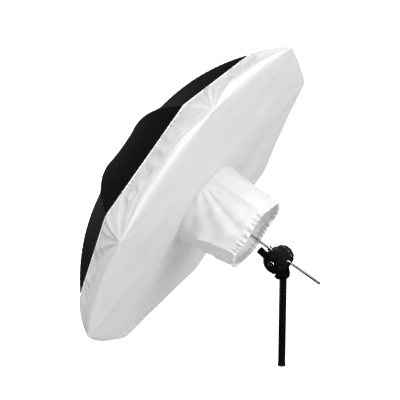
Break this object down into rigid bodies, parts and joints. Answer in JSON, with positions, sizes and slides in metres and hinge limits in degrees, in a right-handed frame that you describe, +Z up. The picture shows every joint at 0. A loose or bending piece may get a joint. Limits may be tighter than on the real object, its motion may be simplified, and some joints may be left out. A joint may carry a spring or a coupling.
{
  "type": "studio umbrella reflector",
  "caption": "Open photographic umbrella with black outer canopy, white front diffuser and sleeve, on a swivel head and short post.",
  "frame": {"origin": "centre of the foot of the riser post, at the mouth of its stand socket", "axes": "+Z up along the post; the umbrella opens towards +X and looks 30 degrees down; +Y is the side of the large knob"},
  "size_m": [0.6886, 1.0556, 0.9307],
  "materials": {
    "black_metal": "satin black powder coat",
    "black_plastic": "fine-textured black nylon",
    "grip_rubber": "matt black rubber",
    "washer_plastic": "grey friction washer",
    "screw_steel": "bright plated steel",
    "shaft_steel": "drawn steel tube",
    "rib_steel": "tempered steel rod",
    "brass_insert": "turned brass",
    "black_cloth": "black satin nylon, white inside",
    "white_cloth": "thin white diffusion nylon",
    "elastic": "white woven elastic"
  },
  "bodies": {
    "post": {"post_tube": "black_metal", "post_foot_ring": "black_plastic"},
    "stand_screw": {"stand_set_screw": "screw_steel"},
    "pan_screw": {"pan_set_screw": "screw_steel"},
    "yoke": {"yoke": "black_metal", "tilt_bolt": "screw_steel", "tilt_washers": "washer_plastic"},
    "lever": {"tilt_lever": "black_metal"},
    "knob": {"tension_knob": "black_plastic", "knob_insert": "brass_insert", "knob_cap": "black_plastic"},
    "head": {"tilt_head": "black_plastic"},
    "lock_screw": {"shaft_lock_screw": "screw_steel"},
    "bush": {"shaft_bush": "screw_steel", "bush_clip": "screw_steel"},
    "umbrella": {"shaft": "shaft_steel", "shaft_end_plug": "black_plastic", "hub": "black_plastic", "hub_pins": "screw_steel", "apex_cap": "black_plastic", "diffuser_cover": "white_cloth", "sleeve": "white_cloth", "sleeve_elastic": "elastic", "hem_elastic": "elastic"},
    "runner": {"runner": "black_plastic", "runner_pins": "screw_steel", "runner_grip": "grip_rubber"},
    "plunger": {"runner_plunger": "black_plastic"},
    "rib_1": {"rib_1": "rib_steel", "rib_tip_1": "black_plastic", "canopy_panel_1": "black_cloth"},
    "stretcher_1": {"stretcher_1": "rib_steel"},
    "rib_2": {"rib_2": "rib_steel", "rib_tip_2": "black_plastic", "canopy_panel_2": "black_cloth"},
    "stretcher_2": {"stretcher_2": "rib_steel"},
    "rib_3": {"rib_3": "rib_steel", "rib_tip_3": "black_plastic", "canopy_panel_3": "black_cloth"},
    "stretcher_3": {"stretcher_3": "rib_steel"},
    "rib_4": {"rib_4": "rib_steel", "rib_tip_4": "black_plastic", "canopy_panel_4": "black_cloth"},
    "stretcher_4": {"stretcher_4": "rib_steel"},
    "rib_5": {"rib_5": "rib_steel", "rib_tip_5": "black_plastic", "canopy_panel_5": "black_cloth"},
    "stretcher_5": {"stretcher_5": "rib_steel"},
    "rib_6": {"rib_6": "rib_steel", "rib_tip_6": "black_plastic", "canopy_panel_6": "black_cloth"},
    "stretcher_6": {"stretcher_6": "rib_steel"},
    "rib_7": {"rib_7": "rib_steel", "rib_tip_7": "black_plastic", "canopy_panel_7": "black_cloth"},
    "stretcher_7": {"stretcher_7": "rib_steel"},
    "rib_8": {"rib_8": "rib_steel", "rib_tip_8": "black_plastic", "canopy_panel_8": "black_cloth"},
    "stretcher_8": {"stretcher_8": "rib_steel"}
  },
  "joints": [
    {"name": "stand_screw_turn", "type": "hinge", "parent": "post", "child": "stand_screw", "pos_m": [0, 0.0107, 0.02], "axis": [0, 1, 0], "range_deg": [0, 360]},
    {"name": "pan_screw_turn", "type": "hinge", "parent": "post", "child": "pan_screw", "pos_m": [0, 0.0107, 0.24], "axis": [0, 1, 0], "range_deg": [0, 360]},
    {"name": "pan", "type": "hinge", "parent": "post", "child": "yoke", "pos_m": [0, 0, 0.245], "axis": [0, 0, 1], "continuous": true},
    {"name": "lever_clamp", "type": "hinge", "parent": "yoke", "child": "lever", "pos_m": [-0.02, 0, 0.318], "axis": [0, 1, 0], "range_deg": [-30, 30]},
    {"name": "knob_turn", "type": "hinge", "parent": "yoke", "child": "knob", "pos_m": [-0.02, 0, 0.318], "axis": [0, 1, 0], "continuous": true},
    {"name": "tilt", "type": "hinge", "parent": "yoke", "child": "head", "pos_m": [-0.02, 0, 0.318], "axis": [0, 1, 0], "range_deg": [-30, 30]},
    {"name": "lock_screw_turn", "type": "hinge", "parent": "head", "child": "lock_screw", "pos_m": [-0.00494, -0.015, 0.33009], "axis": [0, 1, 0], "range_deg": [0, 360]},
    {"name": "umbrella_spin", "type": "hinge", "parent": "head", "child": "bush", "pos_m": [-0.011, 0, 0.33359], "axis": [0.866, 0, -0.5], "continuous": true},
    {"name": "shaft_slide", "type": "slide", "parent": "bush", "child": "umbrella", "axis": [0.866, 0, -0.5], "range_m": [-0.07, 0]},
    {"name": "fold", "type": "slide", "parent": "umbrella", "child": "runner", "axis": [0.866, 0, -0.5], "range_m": [0, 0.23249], "deforming": ["diffuser_cover", "hem_elastic", "canopy_panel_1", "canopy_panel_2", "canopy_panel_3", "canopy_panel_4", "canopy_panel_5", "canopy_panel_6", "canopy_panel_7", "canopy_panel_8"]},
    {"name": "plunger_pull", "type": "slide", "parent": "runner", "child": "plunger", "axis": [0, -1, 0], "range_m": [0, 0.002], "stiffness_N_per_m": 300},
    {"name": "rib_1_hinge", "type": "hinge", "parent": "umbrella", "child": "rib_1", "pos_m": [-0.47842, 0, 0.61847], "axis": [0, 1, 0], "range_deg": [-0.5, 41.5]},
    {"name": "stretcher_1_hinge", "type": "hinge", "parent": "runner", "child": "stretcher_1", "pos_m": [-0.37589, 0.0052, 0.56158], "axis": [0, -1, 0], "range_deg": [-0.5, 35.81]},
    {"name": "rib_2_hinge", "type": "hinge", "parent": "umbrella", "child": "rib_2", "pos_m": [-0.48033, -0.00919, 0.61517], "axis": [0.3536, 0.7071, 0.6124], "range_deg": [-0.5, 41.5]},
    {"name": "stretcher_2_hinge", "type": "hinge", "parent": "runner", "child": "stretcher_2", "pos_m": [-0.37625, -0.00693, 0.56096], "axis": [-0.3536, -0.7071, -0.6124], "range_deg": [-0.5, 35.81]},
    {"name": "rib_3_hinge", "type": "hinge", "parent": "umbrella", "child": "rib_3", "pos_m": [-0.48492, -0.013, 0.60721], "axis": [0.5, 0, 0.866], "range_deg": [-0.5, 41.5]},
    {"name": "stretcher_3_hinge", "type": "hinge", "parent": "runner", "child": "stretcher_3", "pos_m": [-0.38079, -0.015, 0.55309], "axis": [-0.5, 0, -0.866], "range_deg": [-0.5, 35.81]},
    {"name": "rib_4_hinge", "type": "hinge", "parent": "umbrella", "child": "rib_4", "pos_m": [-0.48952, -0.00919, 0.59925], "axis": [0.3536, -0.7071, 0.6124], "range_deg": [-0.5, 41.5]},
    {"name": "stretcher_4_hinge", "type": "hinge", "parent": "runner", "child": "stretcher_4", "pos_m": [-0.38686, -0.01428, 0.54259], "axis": [-0.3536, 0.7071, -0.6124], "range_deg": [-0.5, 35.81]},
    {"name": "rib_5_hinge", "type": "hinge", "parent": "umbrella", "child": "rib_5", "pos_m": [-0.49142, 0, 0.59595], "axis": [0, -1, 0], "range_deg": [-0.5, 41.5]},
    {"name": "stretcher_5_hinge", "type": "hinge", "parent": "runner", "child": "stretcher_5", "pos_m": [-0.39089, -0.0052, 0.5356], "axis": [0, 1, 0], "range_deg": [-0.5, 35.81]},
    {"name": "rib_6_hinge", "type": "hinge", "parent": "umbrella", "child": "rib_6", "pos_m": [-0.48952, 0.00919, 0.59925], "axis": [-0.3536, -0.7071, -0.6124], "range_deg": [-0.5, 41.5]},
    {"name": "stretcher_6_hinge", "type": "hinge", "parent": "runner", "child": "stretcher_6", "pos_m": [-0.39053, 0.00693, 0.53622], "axis": [0.3536, 0.7071, 0.6124], "range_deg": [-0.5, 35.81]},
    {"name": "rib_7_hinge", "type": "hinge", "parent": "umbrella", "child": "rib_7", "pos_m": [-0.48492, 0.013, 0.60721], "axis": [-0.5, 0, -0.866], "range_deg": [-0.5, 41.5]},
    {"name": "stretcher_7_hinge", "type": "hinge", "parent": "runner", "child": "stretcher_7", "pos_m": [-0.38599, 0.015, 0.54409], "axis": [0.5, 0, 0.866], "range_deg": [-0.5, 35.81]},
    {"name": "rib_8_hinge", "type": "hinge", "parent": "umbrella", "child": "rib_8", "pos_m": [-0.48033, 0.00919, 0.61517], "axis": [-0.3536, 0.7071, -0.6124], "range_deg": [-0.5, 41.5]},
    {"name": "stretcher_8_hinge", "type": "hinge", "parent": "runner", "child": "stretcher_8", "pos_m": [-0.37993, 0.01428, 0.55459], "axis": [0.3536, -0.7071, 0.6124], "range_deg": [-0.5, 35.81]}
  ],
  "couplings": [
    {"joint": "rib_1_hinge", "follows": "fold", "rad_per_m": 3.0779},
    {"joint": "stretcher_1_hinge", "follows": "fold", "rad_per_m": 2.6511},
    {"joint": "rib_2_hinge", "follows": "fold", "rad_per_m": 3.0779},
    {"joint": "stretcher_2_hinge", "follows": "fold", "rad_per_m": 2.6511},
    {"joint": "rib_3_hinge", "follows": "fold", "rad_per_m": 3.0779},
    {"joint": "stretcher_3_hinge", "follows": "fold", "rad_per_m": 2.6511},
    {"joint": "rib_4_hinge", "follows": "fold", "rad_per_m": 3.0779},
    {"joint": "stretcher_4_hinge", "follows": "fold", "rad_per_m": 2.6511},
    {"joint": "rib_5_hinge", "follows": "fold", "rad_per_m": 3.0779},
    {"joint": "stretcher_5_hinge", "follows": "fold", "rad_per_m": 2.6511},
    {"joint": "rib_6_hinge", "follows": "fold", "rad_per_m": 3.0779},
    {"joint": "stretcher_6_hinge", "follows": "fold", "rad_per_m": 2.6511},
    {"joint": "rib_7_hinge", "follows": "fold", "rad_per_m": 3.0779},
    {"joint": "stretcher_7_hinge", "follows": "fold", "rad_per_m": 2.6511},
    {"joint": "rib_8_hinge", "follows": "fold", "rad_per_m": 3.0779},
    {"joint": "stretcher_8_hinge", "follows": "fold", "rad_per_m": 2.6511}
  ]
}
